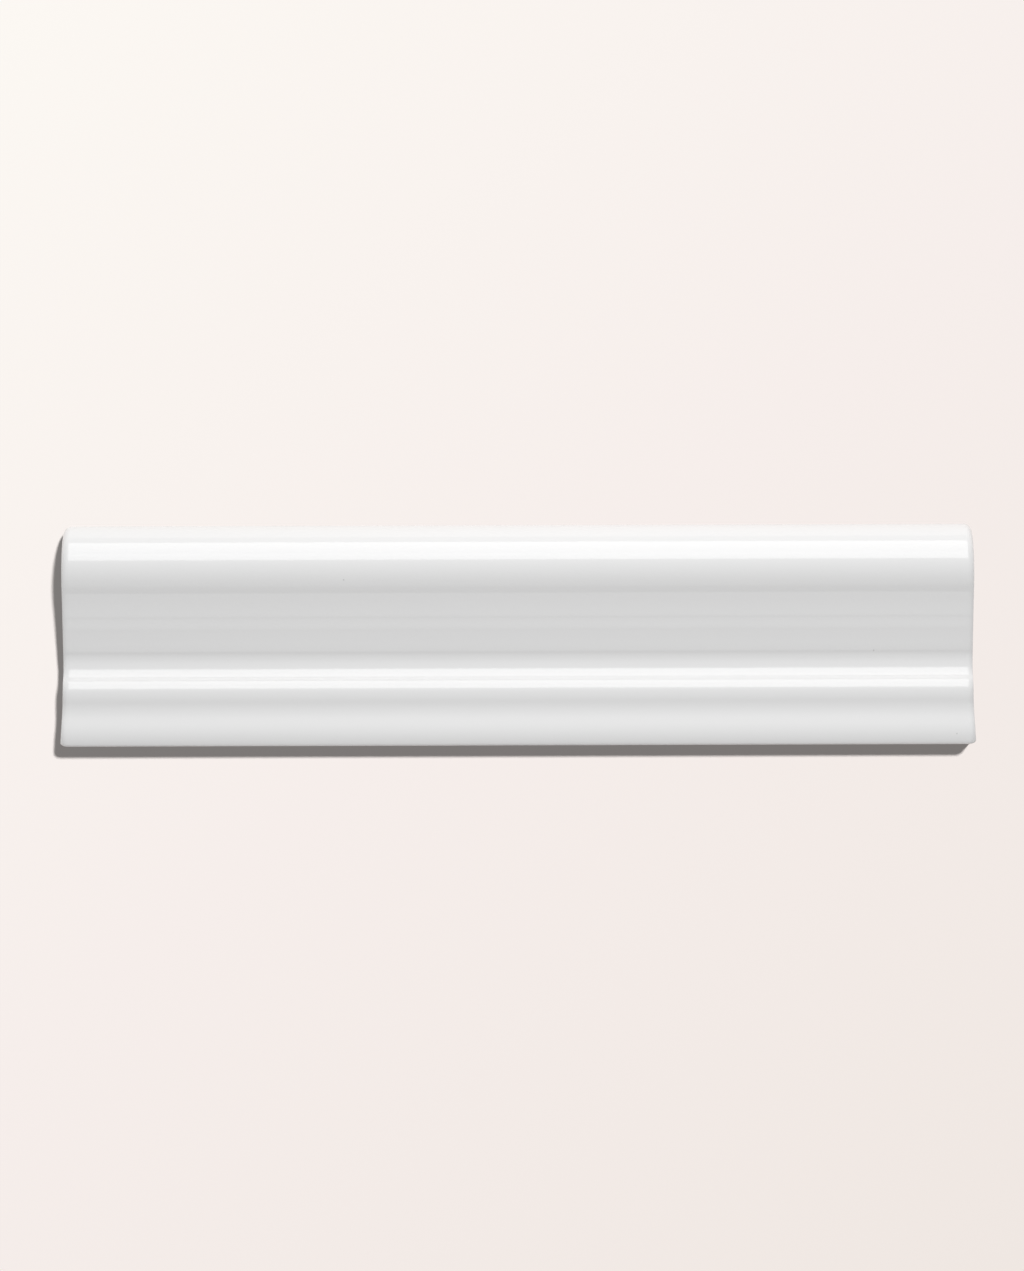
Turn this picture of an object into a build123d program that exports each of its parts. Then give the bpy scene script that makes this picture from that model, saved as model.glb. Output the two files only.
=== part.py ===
"""A white glazed ceramic dado rail tile: one pressed and fired piece, lying on its back.

X runs along the rail, Y across the face from the foot up to the roll, and Z out from the wall.
The origin is the middle of the back. All sizes are in millimetres, after firing.
"""

import os
from math import asin, atan2, copysign, degrees, sqrt

from build123d import *

# Overall size
LENGTH = 200.0  # over the spread corners of the foot
WIDTH = 48.2  # from the foot's lower edge to the top of the roll
HEIGHT = 14.0  # from the back to the crest of the roll

# Roll along the top edge, and the long slope under it
ROLL_RADIUS = 9.0  # quarter round, from the top edge to the crest
ROLL_FLANK_RADIUS = 12.5  # easier curve where the roll runs into the slope
COVE_DEPTH = 5.4  # floor of the cove below the crest of the roll
COVE_RADIUS = 8.0  # hollow where the slope runs out into the cove's floor

# Bead under the cove
COVE_TO_BEAD = 6.1  # from the cove's floor to the bead's crest
BEAD_RISE = 2.3  # crest of the bead above the cove's floor
BEAD_RADIUS = 4.0  # round of the bead on the side towards the cove

# Shallow hollow under the bead, and the swelling foot
BEAD_TO_HOLLOW = 4.4
HOLLOW_DEPTH = 0.53  # below the bead's crest
HOLLOW_TO_FOOT = 4.5
FOOT_RISE = 0.47  # crest of the foot above the hollow
FOOT_INSET = 3.0  # crest of the foot in from its lower edge
FOOT_RADIUS = 8.0  # fall from the crest to the lower edge

# Ends, and the edges softened by the glaze
END_FLARE = 0.6  # how far each end spreads at the foot
END_FLARE_RUN = 14.0  # height of the spreading stretch, up from the lower edge
EDGE_RADIUS = 1.1  # all round each end, and along the lower edge of the foot

# Keying grooves pressed into the back
GROOVE_COUNT = 4
GROOVE_WIDTH = 5.0
GROOVE_DEPTH = 1.2
GROOVE_DRAFT = 20.0  # degrees, so that the tile leaves the die
BACK_RIM = 6.0  # plain margin along the two long edges
BACK_END_RIM = 9.0  # plain margin at each end

# Heights at which the face runs level, measured from the back
COVE_HEIGHT = HEIGHT - COVE_DEPTH
BEAD_HEIGHT = COVE_HEIGHT + BEAD_RISE
HOLLOW_HEIGHT = BEAD_HEIGHT - HOLLOW_DEPTH
FOOT_HEIGHT = HOLLOW_HEIGHT + FOOT_RISE

# Places across the face of the same levels, measured from the middle
LOWER_EDGE = -WIDTH / 2
TOP_EDGE = WIDTH / 2
FOOT_PLACE = LOWER_EDGE + FOOT_INSET
HOLLOW_PLACE = FOOT_PLACE + HOLLOW_TO_FOOT
BEAD_PLACE = HOLLOW_PLACE + BEAD_TO_HOLLOW
COVE_PLACE = BEAD_PLACE + COVE_TO_BEAD
ROLL_PLACE = TOP_EDGE - ROLL_RADIUS

BODY_HALF = LENGTH / 2 - END_FLARE
GROOVE_PITCH = (WIDTH - 2 * BACK_RIM - GROOVE_WIDTH) / (GROOVE_COUNT - 1)
GROOVE_LENGTH = LENGTH - 2 * BACK_END_RIM


def reverse_curve(start, end, start_radius=None):
    """Draw two arcs that meet at their inflection, level at both ends.

    The two radii have a fixed sum. They are equal unless the first one is given.
    """
    run = end[0] - start[0]
    rise = end[1] - start[1]
    radius_sum = (run**2 + rise**2) / (2 * abs(rise))
    first_radius = start_radius or radius_sum / 2
    turn = copysign(degrees(asin(run / radius_sum)), rise)
    first = JernArc(start, (1, 0), first_radius, turn)
    JernArc(first @ 1, first % 1, radius_sum - first_radius, -turn)


def ogee(start, end, start_radius, end_radius):
    """Draw two arcs with a straight slope between them, level at both ends."""
    run = end[0] - start[0]
    rise = end[1] - start[1]
    radius_sum = start_radius + end_radius
    slope_length = sqrt(run**2 + rise**2 - 2 * radius_sum * abs(rise))
    angle = atan2(run, radius_sum - abs(rise)) - atan2(slope_length, radius_sum)
    turn = copysign(degrees(angle), rise)
    first = JernArc(start, (1, 0), start_radius, turn)
    slope = PolarLine(first @ 1, slope_length, turn)
    JernArc(slope @ 1, slope % 1, end_radius, -turn)


foot_crest = (FOOT_PLACE, FOOT_HEIGHT)
hollow_floor = (HOLLOW_PLACE, HOLLOW_HEIGHT)
bead_crest = (BEAD_PLACE, BEAD_HEIGHT)
cove_floor = (COVE_PLACE, COVE_HEIGHT)
roll_crest = (ROLL_PLACE, HEIGHT)

# The flare is curved so that its corner, once rounded, just reaches the full length
flare_reach = END_FLARE_RUN - EDGE_RADIUS
flare_radius = (flare_reach**2 + END_FLARE**2) / (2 * END_FLARE) - EDGE_RADIUS
flare_turn = degrees(asin(END_FLARE_RUN / flare_radius))

# Height at which the fall of the foot would meet its lower face
foot_corner_height = FOOT_HEIGHT - FOOT_RADIUS + sqrt(FOOT_RADIUS**2 - FOOT_INSET**2)

with BuildPart() as tile:
    # The moulded section, swept along the rail
    with BuildSketch(Plane.YZ):
        with BuildLine():
            lower_face = Line((LOWER_EDGE, 0), (LOWER_EDGE, foot_corner_height))
            RadiusArc(lower_face @ 1, foot_crest, FOOT_RADIUS)
            reverse_curve(foot_crest, hollow_floor)
            reverse_curve(hollow_floor, bead_crest)
            reverse_curve(bead_crest, cove_floor, BEAD_RADIUS)
            ogee(cove_floor, roll_crest, COVE_RADIUS, ROLL_FLANK_RADIUS)
            roll = JernArc(roll_crest, (1, 0), ROLL_RADIUS, -90)
            top_face = Line(roll @ 1, (TOP_EDGE, 0))
            Line(top_face @ 1, lower_face @ 0)
        make_face()
    extrude(amount=LENGTH, both=True)

    # The plan, which trims the ends square and lets them spread at the foot
    with BuildSketch(Plane.XY):
        with BuildLine():
            top = Line((0, TOP_EDGE), (BODY_HALF, TOP_EDGE))
            end = Line(top @ 1, (BODY_HALF, LOWER_EDGE + END_FLARE_RUN))
            flare = JernArc(end @ 1, end % 1, flare_radius, flare_turn)
            Line(flare @ 1, (0, LOWER_EDGE))
            mirror(about=Plane.YZ)
        make_face()
    extrude(amount=HEIGHT, mode=Mode.INTERSECT)

    # Edges of the two ends, from the back round over the face, and the lower edge of the foot
    ends = tile.faces().filter_by(lambda face: abs(face.center().X) > BODY_HALF - END_FLARE)
    end_edges = ends.edges().filter_by(lambda edge: edge.center().Z > EDGE_RADIUS)
    flare_start = LOWER_EDGE + END_FLARE_RUN
    seams = end_edges.filter_by(Axis.Z).filter_by_position(
        Axis.Y, flare_start - END_FLARE, flare_start + END_FLARE
    )
    foot_edge = tile.edges().filter_by(Axis.X).group_by(Axis.Y)[0].sort_by(Axis.Z)[-1]
    fillet([*(end_edges - seams), foot_edge], EDGE_RADIUS)

    # Keying grooves in the back
    with BuildSketch(Plane.XY):
        with GridLocations(0, GROOVE_PITCH, 1, GROOVE_COUNT):
            SlotOverall(GROOVE_LENGTH, GROOVE_WIDTH)
    extrude(amount=GROOVE_DEPTH, taper=GROOVE_DRAFT, mode=Mode.SUBTRACT)

tile.part.label = "dado_rail_tile"
os.makedirs("parts", exist_ok=True)
export_step(tile.part, "parts/dado_rail_tile.step")
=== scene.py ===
"""Looks of a white glazed dado rail tile, lying face up on a pale floor.

Metres, in the frame of the solids: X along the rail, Y from the foot up to the roll, Z out from the back.
"""

from math import ceil, cos, pi, radians, sin, tan

import bmesh
import bpy
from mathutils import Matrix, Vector


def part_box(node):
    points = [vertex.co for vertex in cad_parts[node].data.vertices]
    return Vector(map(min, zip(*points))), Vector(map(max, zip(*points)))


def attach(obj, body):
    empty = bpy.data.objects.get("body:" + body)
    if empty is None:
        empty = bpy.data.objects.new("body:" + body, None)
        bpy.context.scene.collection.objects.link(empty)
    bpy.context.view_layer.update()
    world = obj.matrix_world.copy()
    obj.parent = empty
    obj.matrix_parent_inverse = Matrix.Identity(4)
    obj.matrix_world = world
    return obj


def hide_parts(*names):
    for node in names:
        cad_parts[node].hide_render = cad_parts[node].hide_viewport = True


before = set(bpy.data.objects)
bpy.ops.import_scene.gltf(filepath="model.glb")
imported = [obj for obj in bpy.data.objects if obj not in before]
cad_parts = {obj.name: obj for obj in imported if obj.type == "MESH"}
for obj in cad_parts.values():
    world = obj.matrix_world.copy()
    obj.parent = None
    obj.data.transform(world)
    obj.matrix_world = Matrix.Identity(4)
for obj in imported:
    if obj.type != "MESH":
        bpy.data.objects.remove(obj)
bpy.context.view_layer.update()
NODE = "dado_rail_tile"
low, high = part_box(NODE)

MM = 0.001
TINY = 0.02 * MM  # closer than this counts as the same place

# Outside of the tile, taken from the solid
LOWER_EDGE = low.y
TOP_EDGE = high.y
HEIGHT = high.z
LENGTH = high.x - low.x

# Ends: square, spreading a little at the foot, with a glaze-softened edge
END_FLARE = 0.6 * MM
FLARE_RUN = 14.0 * MM
FLARE_STRIPS = 14
END_EDGE_RUN = 1.7 * MM  # along the rail
END_EDGE_FALL = 0.9 * MM  # at the crest of the roll
UPPER_CORNER_FALL = 1.7 * MM
LOWER_CORNER_FALL = 0.8 * MM
END_EDGE_STEPS = 9
BODY_HALF = LENGTH / 2 - END_FLARE
SECTION_HALF = BODY_HALF - END_EDGE_RUN  # the full section ends here, and the round edge begins

# Section of the face, as stretches from the lower edge up to the roll.
# Each stretch is an arc: how far it runs across the face in mm, and the slope in degrees that it ends at.
FACE = (
    (0.35, 20.0),  # round over the lower edge
    (2.62, 0.0),  # crest of the foot
    (1.55, -9.6),
    (0.9, -10.3),
    (0.75, -9.6),
    (1.3, 0.0),  # floor of the shallow hollow
    (2.13, 13.9),
    (2.25, 0.0),  # crest of the bead
    (2.81, -44.6),
    (2.1, -9.0),
    (0.35, -3.0),
    (0.84, 0.0),  # floor of the cove
    (1.45, 11.9),
    (0.32, 14.6),
    (0.3, 17.8),
    (0.4, 19.6),  # first tooling line on the long slope
    (0.25, 17.2),
    (0.33, 15.9),
    (1.55, 14.3),
    (1.0, 15.6),
    (1.1, 15.8),
    (0.6, 17.8),  # second tooling line
    (0.45, 14.9),
    (0.8, 13.4),
    (0.8, 14.9),
    (0.4, 15.8),
    (0.3, 19.3),  # third tooling line
    (0.35, 15.3),
    (0.45, 14.5),
    (1.5, 15.7),
    (1.4, 17.5),
    (1.5, 17.8),
    (0.25, 20.2),  # last tooling line, under the roll
    (1.45, 18.8),
    (1.1, 15.7),
    (1.1, 10.6),
    (2.1, 0.0),  # crest of the roll
)
UPRIGHT = 90  # slope in degrees of the faces along both long edges
ROLL_RADIUS = 9.0 * MM
ROW = 0.35 * MM  # width of one row of faces round the section
STEP_TURN = radians(12)  # most that the section turns from one row to the next
COLUMNS = 80  # faces along the rail
CRISP_ANGLE = radians(35)  # a sharper edge than this isn't smoothed over

# Keying grooves in the back
GROOVE_COUNT = 4
GROOVE_WIDTH = 5.0 * MM
GROOVE_DEPTH = 1.2 * MM
GROOVE_DRAFT = radians(20)
GROOVE_ROUND = 36  # faces round a whole circle, at the ends of a groove
BACK_RIM = 6.0 * MM
BACK_END_RIM = 9.0 * MM

# Glaze, and the biscuit under it
GLAZE_COLOUR = "#EDEDED"
GLAZE_ROUGHNESS = 0.06
GLAZE_IOR = 1.5
BISCUIT_COLOUR = "#E6DACB"
BISCUIT_ROUGHNESS = 0.85
GLAZE_LINE = (1.4 * MM, 2.1 * MM)  # where the glaze stops above the back, lowest and highest
GLAZE_WANDER = 14.0 * MM  # length over which that line goes up and down
GLAZE_FADE = 0.15 * MM  # height over which the glaze thins out
NOISE_LOW = 0.3  # nearly all of the noise lies between these two
NOISE_HIGH = 0.7

# Small grey specks painted into the face, by place in mm
GREY_SPECKS = ((95.7, -21.8), (-37.9, 12.1), (77.7, -3.6))
SPECK_RADIUS = 0.22 * MM
SPECK_COLOUR = "#6E6C68"
SPECK_STRENGTH = 0.45

# Paper floor
FLOOR_SIZE = 6.0
FLOOR_GAP = 0.05 * MM  # under the back, so that two faces never share one plane
# The paper's colours grow darker towards the lower right: painted fall-off of light
PAPER_COLOURS_WITH_FALLOFF = ("#FCF8F3", "#F6EEEB", "#EFE7E2")  # from the upper left to the lower right
PAPER_DRIFT = (1.77, -2.14, 0)  # share of that change for each metre along X, Y and Z
PAPER_ROUGHNESS = 0.9

# Camera, straight above the tile
CAMERA_HEIGHT = 1.2
LENS_MM = 154.4
SENSOR_MM = 36.0
CAMERA_X = -1.3 * MM
CAMERA_Y = -0.12 * MM
CAMERA_ROLL = radians(-0.175)

# Lamps: a softbox beyond the roll and a broad overhead panel light the tile, a small hard lamp the floor
WORLD_COLOUR = "#FFFFFF"
WORLD_LEVEL = 0.22
KEY_TILT = radians(45)  # from overhead towards the roll
KEY_DISTANCE = 0.6
KEY_LENGTH = 0.54  # along the rail
KEY_ASIDE = 0.04  # towards the right end
KEY_SPREAD = radians(52)  # how much of the view from the tile it fills, across the rail
KEY_RADIANCE = 2.68
PANEL_HEIGHT = 2.0
PANEL_SIZE = 3.0
PANEL_RADIANCE = 0.62
SHADOW_SHIFT = (-0.235, -0.275)  # how far the floor's shadow falls aside, per height
SHADOW_SOFTNESS = radians(4)


def linear(code):
    """Turn an sRGB hex colour into linear red, green, blue and alpha."""
    channels = [int(code[i : i + 2], 16) / 255 for i in (1, 3, 5)]
    return [c / 12.92 if c <= 0.04045 else ((c + 0.055) / 1.055) ** 2.4 for c in channels] + [1.0]


def add_node(material, kind, inputs=None, **settings):
    """Add a node to a material. An input is a plain value, or the output socket that feeds it."""
    node = material.node_tree.nodes.new(kind)
    for name, value in settings.items():
        setattr(node, name, value)
    for name, value in (inputs or {}).items():
        if isinstance(value, bpy.types.NodeSocket):
            material.node_tree.links.new(value, node.inputs[name])
        else:
            node.inputs[name].default_value = value
    return node


def new_material(name):
    """A new material, and the Principled shader in it."""
    material = bpy.data.materials.new(name)
    material.use_nodes = True
    return material, material.node_tree.nodes["Principled BSDF"]


def select_by(obj, kind, test):
    """In edit mode, select only the vertices or faces that pass the test."""
    bpy.ops.mesh.select_mode(type={"verts": "VERT", "faces": "FACE"}[kind])
    bpy.ops.mesh.select_all(action="DESELECT")
    mesh = bmesh.from_edit_mesh(obj.data)
    for part in getattr(mesh, kind):
        if test(part):
            part.select_set(True)
    bmesh.update_edit_mesh(obj.data)


def face_rise():
    """Height gained from the lower edge of the face up to the crest of the roll.

    Each arc rises as its chord does, and the chord slopes halfway between the arc's two ends.
    """
    rise = 0
    before = UPRIGHT
    for run, slope in FACE:
        rise += run * MM * tan(radians(before + slope) / 2)
        before = slope
    return rise


class SectionPen:
    """Draws a row of edges along the rail through the section, and leaves the surface behind it."""

    def __init__(self, y, z, slope):
        self.y = y
        self.z = z
        self.slope = slope

    def straight(self, length):
        """Go straight on by this much."""
        angle = radians(self.slope)
        step = Vector((0, length * cos(angle), length * sin(angle)))
        bpy.ops.mesh.extrude_region_move(TRANSFORM_OT_translate={"value": step})
        self.y += step.y
        self.z += step.z

    def bend(self, run, slope):
        """Curve on by this much across the face, until the surface has the given slope."""
        before = radians(self.slope)
        after = radians(slope)
        radius = run / (sin(after) - sin(before))
        centre = (0, self.y - radius * sin(before), self.z + radius * cos(before))
        turn = after - before
        steps = max(2, ceil(abs(radius * turn) / ROW), ceil(abs(turn) / STEP_TURN))
        bpy.ops.mesh.spin(steps=steps, angle=turn, center=centre, axis=(-1, 0, 0))
        self.y = centre[1] + radius * sin(after)
        self.z = centre[2] - radius * cos(after)
        self.slope = slope


def moulded_body():
    """The section drawn all the way round from one long row of edges, with both ends filled."""
    bpy.ops.object.select_all(action="DESELECT")
    bpy.ops.mesh.primitive_grid_add(x_subdivisions=COLUMNS, y_subdivisions=1, size=2 * SECTION_HALF)
    tile = bpy.context.object
    tile.name = "glazed_tile"
    bpy.ops.object.mode_set(mode="EDIT")
    # Only the near side of the grid stays, as the row of edges, and moves to the lower edge
    select_by(tile, "verts", lambda v: v.co.y > 0)
    bpy.ops.mesh.delete(type="VERT")
    bpy.ops.mesh.select_all(action="SELECT")
    bpy.ops.transform.translate(value=(0, LOWER_EDGE + SECTION_HALF, 0))

    pen = SectionPen(LOWER_EDGE, 0, UPRIGHT)
    pen.straight(HEIGHT - face_rise())
    for run, slope in FACE:
        pen.bend(run * MM, slope)
    pen.bend(ROLL_RADIUS, -UPRIGHT)
    pen.straight(pen.z)
    # The back runs level, towards the lower edge again
    pen.slope = 2 * UPRIGHT
    pen.straight(TOP_EDGE - LOWER_EDGE)

    bpy.ops.mesh.select_all(action="SELECT")
    bpy.ops.mesh.remove_doubles(threshold=TINY)
    bpy.ops.mesh.fill_holes(sides=0)
    bpy.ops.mesh.select_all(action="SELECT")
    bpy.ops.mesh.normals_make_consistent(inside=False)
    bpy.ops.object.mode_set(mode="OBJECT")
    return tile


def cut_keying_grooves(tile):
    """Press the keying grooves into the back: long slots with round ends and drafted walls."""
    pitch = (TOP_EDGE - LOWER_EDGE - 2 * BACK_RIM - GROOVE_WIDTH) / (GROOVE_COUNT - 1)
    reach = LENGTH / 2 - BACK_END_RIM - GROOVE_WIDTH / 2
    floor_scale = 1 - GROOVE_DEPTH * tan(GROOVE_DRAFT) / (GROOVE_WIDTH / 2)
    for row in range(GROOVE_COUNT):
        y = pitch * (row - (GROOVE_COUNT - 1) / 2)
        bpy.ops.object.select_all(action="DESELECT")
        bpy.ops.mesh.primitive_cylinder_add(
            vertices=GROOVE_ROUND,
            radius=GROOVE_WIDTH / 2,
            depth=2 * GROOVE_DEPTH,
            location=(0, y, 0),
            rotation=(0, 0, pi / GROOVE_ROUND),
        )
        cutter = bpy.context.object
        bpy.ops.object.transform_apply(location=True, rotation=True, scale=False)
        bpy.ops.object.mode_set(mode="EDIT")
        # The cutter is as wide at the back face as the groove, and the groove's floor is narrower
        for level, scale in ((GROOVE_DEPTH, floor_scale), (-GROOVE_DEPTH, 2 - floor_scale)):
            select_by(cutter, "verts", lambda v: abs(v.co.z - level) < TINY)
            bpy.ops.transform.resize(value=(scale, scale, 1), center_override=(0, y, level))
        for side in (-1, 1):
            select_by(cutter, "verts", lambda v: side * v.co.x > TINY)
            bpy.ops.transform.translate(value=(side * reach, 0, 0))
        bpy.ops.object.mode_set(mode="OBJECT")

        bpy.ops.object.select_all(action="DESELECT")
        bpy.context.view_layer.objects.active = tile
        tile.select_set(True)
        cut = tile.modifiers.new("groove", "BOOLEAN")
        cut.operation = "DIFFERENCE"
        cut.solver = "EXACT"
        cut.object = cutter
        bpy.ops.object.modifier_apply(modifier=cut.name)
        bpy.data.objects.remove(cutter)


def round_ends(tile):
    """Round each end: the end face is drawn out in small steps and shrinks as it goes.

    It shrinks towards the back, and towards a line near the foot, so that the lower corner comes out sharper.
    """
    lower_share = LOWER_CORNER_FALL / (LOWER_CORNER_FALL + UPPER_CORNER_FALL)
    still_line = LOWER_EDGE + lower_share * (TOP_EDGE - LOWER_EDGE)
    falls = ((TOP_EDGE - still_line, UPPER_CORNER_FALL), (HEIGHT, END_EDGE_FALL))
    bpy.ops.object.mode_set(mode="EDIT")
    for side in (-1, 1):
        select_by(tile, "faces", lambda f: side * f.calc_center_median().x > SECTION_HALF - TINY)
        for step in range(END_EDGE_STEPS):
            before = pi / 2 * step / END_EDGE_STEPS
            after = pi / 2 * (step + 1) / END_EDGE_STEPS
            reach = END_EDGE_RUN * (sin(after) - sin(before))
            bpy.ops.mesh.extrude_region_move(TRANSFORM_OT_translate={"value": (side * reach, 0, 0)})
            shrink = [
                (size - fall * (1 - cos(after))) / (size - fall * (1 - cos(before))) for size, fall in falls
            ]
            bpy.ops.transform.resize(value=(1, *shrink), center_override=(0, still_line, 0))
    bpy.ops.object.mode_set(mode="OBJECT")


def spread_ends(tile):
    """Let both ends spread a little at the foot."""

    def at_end(face):
        """The end faces themselves, and the margin of the back behind their round edges."""
        centre = face.calc_center_median()
        margin = END_EDGE_RUN if centre.z < TINY else 0
        return abs(centre.x) > BODY_HALF - margin - TINY

    widest = LOWER_EDGE + LOWER_CORNER_FALL
    bpy.ops.object.mode_set(mode="EDIT")
    # Strips across the flat end, so that it can follow the curve of the spread
    for strip in range(1, FLARE_STRIPS + 1):
        level = widest + FLARE_RUN * strip / FLARE_STRIPS
        select_by(tile, "faces", at_end)
        bpy.ops.mesh.bisect(plane_co=(0, level, 0), plane_no=(0, 1, 0))
    for side in (-1, 1):
        select_by(
            tile,
            "verts",
            lambda v: side * v.co.x > SECTION_HALF - TINY and v.co.y < widest + TINY,
        )
        bpy.ops.transform.translate(
            value=(side * END_FLARE, 0, 0),
            use_proportional_edit=True,
            proportional_edit_falloff="SHARP",
            proportional_size=FLARE_RUN,
        )
    bpy.ops.object.mode_set(mode="OBJECT")


def finish_surface(tile):
    """Smooth shading, with crisp edges only round the back."""
    bpy.ops.object.shade_smooth_by_angle(angle=CRISP_ANGLE)
    even = tile.modifiers.new("even", "WEIGHTED_NORMAL")
    even.keep_sharp = True
    bpy.ops.object.modifier_apply(modifier=even.name)


def white_glaze():
    """Opaque white glaze, fired glossy over a pressed body: neutral white with sharp, mirror-like lights.

    It stops a little above the back in an uneven line. Under that the biscuit shows, cream, dry and matte.
    A few small grey specks are painted into the glaze.
    """
    material, shader = new_material("opaque_white_glaze")
    links = material.node_tree.links
    place = add_node(material, "ShaderNodeTexCoord").outputs["Object"]

    # How far the glaze covers the biscuit, from 0 to 1
    height = add_node(material, "ShaderNodeSeparateXYZ", {"Vector": place}).outputs["Z"]
    wander = add_node(
        material, "ShaderNodeTexNoise", {"Vector": place, "Scale": 1 / GLAZE_WANDER, "Detail": 1.0}
    ).outputs["Fac"]
    line = add_node(
        material,
        "ShaderNodeMapRange",
        {
            "Value": wander,
            "From Min": NOISE_LOW,
            "From Max": NOISE_HIGH,
            "To Min": GLAZE_LINE[0],
            "To Max": GLAZE_LINE[1],
        },
    ).outputs["Result"]
    above = add_node(material, "ShaderNodeMath", {0: height, 1: line}, operation="SUBTRACT").outputs["Value"]
    cover = add_node(
        material, "ShaderNodeMapRange", {"Value": above, "From Max": GLAZE_FADE}
    ).outputs["Result"]
    colour = add_node(
        material,
        "ShaderNodeMix",
        {0: cover, 6: linear(BISCUIT_COLOUR), 7: linear(GLAZE_COLOUR)},
        data_type="RGBA",
    ).outputs[2]
    roughness = add_node(
        material,
        "ShaderNodeMapRange",
        {"Value": cover, "To Min": BISCUIT_ROUGHNESS, "To Max": GLAZE_ROUGHNESS},
    ).outputs["Result"]

    # Grey specks, placed by the plan alone
    plan = add_node(
        material, "ShaderNodeVectorMath", {0: place, 1: (1, 1, 0)}, operation="MULTIPLY"
    ).outputs["Vector"]
    for x, y in GREY_SPECKS:
        away = add_node(
            material, "ShaderNodeVectorMath", {0: plan, 1: (x * MM, y * MM, 0)}, operation="DISTANCE"
        ).outputs["Value"]
        grey = add_node(
            material,
            "ShaderNodeMapRange",
            {"Value": away, "From Max": SPECK_RADIUS, "To Min": SPECK_STRENGTH, "To Max": 0.0},
        ).outputs["Result"]
        colour = add_node(
            material, "ShaderNodeMix", {0: grey, 6: colour, 7: linear(SPECK_COLOUR)}, data_type="RGBA"
        ).outputs[2]

    links.new(colour, shader.inputs["Base Color"])
    links.new(roughness, shader.inputs["Roughness"])
    shader.inputs["IOR"].default_value = GLAZE_IOR
    return material


def make_tile():
    """The finished tile, in the place of the solid."""
    tile = moulded_body()
    cut_keying_grooves(tile)
    round_ends(tile)
    spread_ends(tile)
    finish_surface(tile)
    tile.data.materials.append(white_glaze())
    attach(tile, "root")
    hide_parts(NODE)
    # The floor then has the lamp's shadow alone, without soft shade round the tile
    tile.visible_diffuse = False
    return tile


def floor_paper():
    """Matte studio paper, cream at the upper left, faintly pink and darker at the lower right. The darkening
    is a painted fall-off of light over the paper.
    """
    material, shader = new_material("cream_paper")
    place = add_node(material, "ShaderNodeTexCoord")
    share = add_node(
        material,
        "ShaderNodeVectorMath",
        {0: place.outputs["Object"], 1: PAPER_DRIFT},
        operation="DOT_PRODUCT",
    )
    # The middle colour lies under the middle of the tile
    ramp = add_node(
        material,
        "ShaderNodeMapRange",
        {"Value": share.outputs["Value"], "From Min": -0.5, "From Max": 0.5},
    )
    colour = add_node(material, "ShaderNodeValToRGB", {"Fac": ramp.outputs["Result"]})
    stops = colour.color_ramp.elements
    stops.new(0.5)
    for stop, code in zip(stops, PAPER_COLOURS_WITH_FALLOFF):
        stop.color = linear(code)
    material.node_tree.links.new(colour.outputs["Color"], shader.inputs["Base Color"])
    shader.inputs["Roughness"].default_value = PAPER_ROUGHNESS
    shader.inputs["Specular IOR Level"].default_value = 0.0
    return material


def make_floor():
    """A wide sheet of paper that the tile lies on."""
    bpy.ops.object.select_all(action="DESELECT")
    bpy.ops.mesh.primitive_plane_add(size=FLOOR_SIZE, location=(0, 0, -FLOOR_GAP))
    floor = bpy.context.object
    floor.name = "floor"
    floor.data.materials.append(floor_paper())
    return floor


def light_only(lamp, obj):
    """Let a lamp reach one object and nothing else."""
    reached = bpy.data.collections.new(lamp.name + "_reaches")
    reached.objects.link(obj)
    lamp.light_linking.receiver_collection = reached


def add_area_lamp(name, place, tilt, size, radiance):
    """A rectangular lamp that faces the tile. Its power gives the stated radiance."""
    bpy.ops.object.light_add(type="AREA", location=place, rotation=(tilt, 0, 0))
    lamp = bpy.context.object
    lamp.name = name
    lamp.data.shape = "RECTANGLE"
    lamp.data.size = size[0]
    lamp.data.size_y = size[1]
    lamp.data.energy = radiance * size[0] * size[1] * pi
    return lamp


def light_the_set(tile, floor):
    """A dim even room, two lamps for the tile and one for the floor."""
    world = bpy.data.worlds.new("studio")
    bpy.context.scene.world = world
    world.use_nodes = True
    background = world.node_tree.nodes["Background"]
    background.inputs["Color"].default_value = linear(WORLD_COLOUR)
    background.inputs["Strength"].default_value = WORLD_LEVEL

    key_place = (KEY_ASIDE, KEY_DISTANCE * sin(KEY_TILT), KEY_DISTANCE * cos(KEY_TILT))
    key_size = (KEY_LENGTH, 2 * KEY_DISTANCE * tan(KEY_SPREAD / 2))
    light_only(add_area_lamp("softbox", key_place, -KEY_TILT, key_size, KEY_RADIANCE), tile)

    panel_size = (PANEL_SIZE, PANEL_SIZE)
    light_only(add_area_lamp("overhead_panel", (0, 0, PANEL_HEIGHT), 0, panel_size, PANEL_RADIANCE), tile)

    # Together with the room, this lights the floor at a level of 1
    fall = Vector((*SHADOW_SHIFT, -1))
    bpy.ops.object.light_add(type="SUN", location=(0, 0, 1))
    lamp = bpy.context.object
    lamp.name = "floor_lamp"
    lamp.rotation_euler = fall.to_track_quat("-Z", "Y").to_euler()
    lamp.data.angle = SHADOW_SOFTNESS
    lamp.data.energy = (1 - WORLD_LEVEL) * pi * fall.length
    light_only(lamp, floor)


def set_camera():
    """Look straight down, with the roll at the top of the picture."""
    bpy.ops.object.camera_add(location=(CAMERA_X, CAMERA_Y, CAMERA_HEIGHT), rotation=(0, 0, CAMERA_ROLL))
    camera = bpy.context.object
    camera.data.lens = LENS_MM
    camera.data.sensor_width = SENSOR_MM
    bpy.context.scene.camera = camera


tile = make_tile()
floor = make_floor()
light_the_set(tile, floor)
set_camera()
bpy.context.scene.view_settings.view_transform = "Standard"
